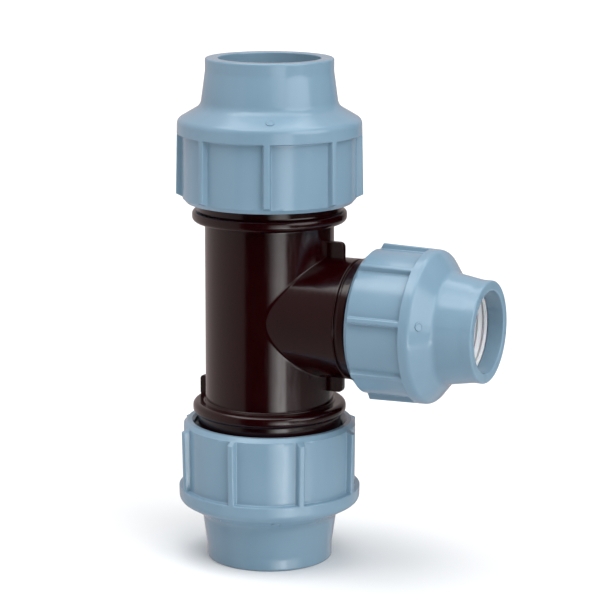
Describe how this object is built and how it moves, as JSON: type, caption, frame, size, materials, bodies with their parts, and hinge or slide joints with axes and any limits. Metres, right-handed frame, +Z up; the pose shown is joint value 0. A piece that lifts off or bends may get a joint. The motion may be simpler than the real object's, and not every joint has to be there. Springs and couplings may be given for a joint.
{
  "type": "compression tee fitting",
  "caption": "Reducing compression tee for plastic pressure pipe, with screwed nuts, split grip rings, thrust bushes and O-ring seals.",
  "frame": {"origin": "centre of the lower port's mouth, on the plane that the fitting stands on", "axes": "+Z up the run to the upper port, +X out along the branch"},
  "size_m": [0.2061, 0.1172, 0.319],
  "materials": {
    "body_plastic": "glossy as-moulded polypropylene, brown-black",
    "nut_plastic": "satin as-moulded polypropylene, blue-grey",
    "ring_plastic": "natural white acetal",
    "bush_plastic": "as-moulded polypropylene, dark grey",
    "seal_rubber": "moulded nitrile rubber, lubricated"
  },
  "bodies": {
    "tee": {"tee_body": "body_plastic", "upper_o_ring": "seal_rubber", "lower_o_ring": "seal_rubber", "branch_o_ring": "seal_rubber"},
    "upper_grip_ring": {"upper_grip_ring": "ring_plastic"},
    "upper_nut": {"upper_nut": "nut_plastic"},
    "upper_thrust_bush": {"upper_thrust_bush": "bush_plastic"},
    "lower_grip_ring": {"lower_grip_ring": "ring_plastic"},
    "lower_nut": {"lower_nut": "nut_plastic"},
    "lower_thrust_bush": {"lower_thrust_bush": "bush_plastic"},
    "branch_grip_ring": {"branch_grip_ring": "ring_plastic"},
    "branch_nut": {"branch_nut": "nut_plastic"},
    "branch_thrust_bush": {"branch_thrust_bush": "bush_plastic"}
  },
  "joints": [
    {"name": "upper_nut_turn", "type": "hinge", "parent": "upper_grip_ring", "child": "upper_nut", "pos_m": [0, 0, 0.319], "axis": [0, 0, 1], "range_deg": [0, 1440]},
    {"name": "upper_nut_travel", "type": "slide", "parent": "tee", "child": "upper_grip_ring", "axis": [0, 0, 1], "range_m": [0, 0.0281]},
    {"name": "upper_bush_travel", "type": "slide", "parent": "tee", "child": "upper_thrust_bush", "axis": [0, 0, 1], "range_m": [0, 0.0141]},
    {"name": "lower_nut_turn", "type": "hinge", "parent": "lower_grip_ring", "child": "lower_nut", "pos_m": [0, 0, 0], "axis": [0, 0, -1], "range_deg": [0, 1440]},
    {"name": "lower_nut_travel", "type": "slide", "parent": "tee", "child": "lower_grip_ring", "axis": [0, 0, -1], "range_m": [0, 0.0281]},
    {"name": "lower_bush_travel", "type": "slide", "parent": "tee", "child": "lower_thrust_bush", "axis": [0, 0, -1], "range_m": [0, 0.0141]},
    {"name": "branch_nut_turn", "type": "hinge", "parent": "branch_grip_ring", "child": "branch_nut", "pos_m": [0.1475, 0, 0.1595], "axis": [1, 0, 0], "range_deg": [0, 1440]},
    {"name": "branch_nut_travel", "type": "slide", "parent": "tee", "child": "branch_grip_ring", "axis": [1, 0, 0], "range_m": [0, 0.0241]},
    {"name": "branch_bush_travel", "type": "slide", "parent": "tee", "child": "branch_thrust_bush", "axis": [1, 0, 0], "range_m": [0, 0.0121]}
  ],
  "couplings": [
    {"joint": "upper_nut_travel", "follows": "upper_nut_turn", "m_per_rad": 0.0011141},
    {"joint": "upper_bush_travel", "follows": "upper_nut_turn", "m_per_rad": 0.00055704},
    {"joint": "lower_nut_travel", "follows": "lower_nut_turn", "m_per_rad": 0.0011141},
    {"joint": "lower_bush_travel", "follows": "lower_nut_turn", "m_per_rad": 0.00055704},
    {"joint": "branch_nut_travel", "follows": "branch_nut_turn", "m_per_rad": 0.00095493},
    {"joint": "branch_bush_travel", "follows": "branch_nut_turn", "m_per_rad": 0.00047746}
  ]
}
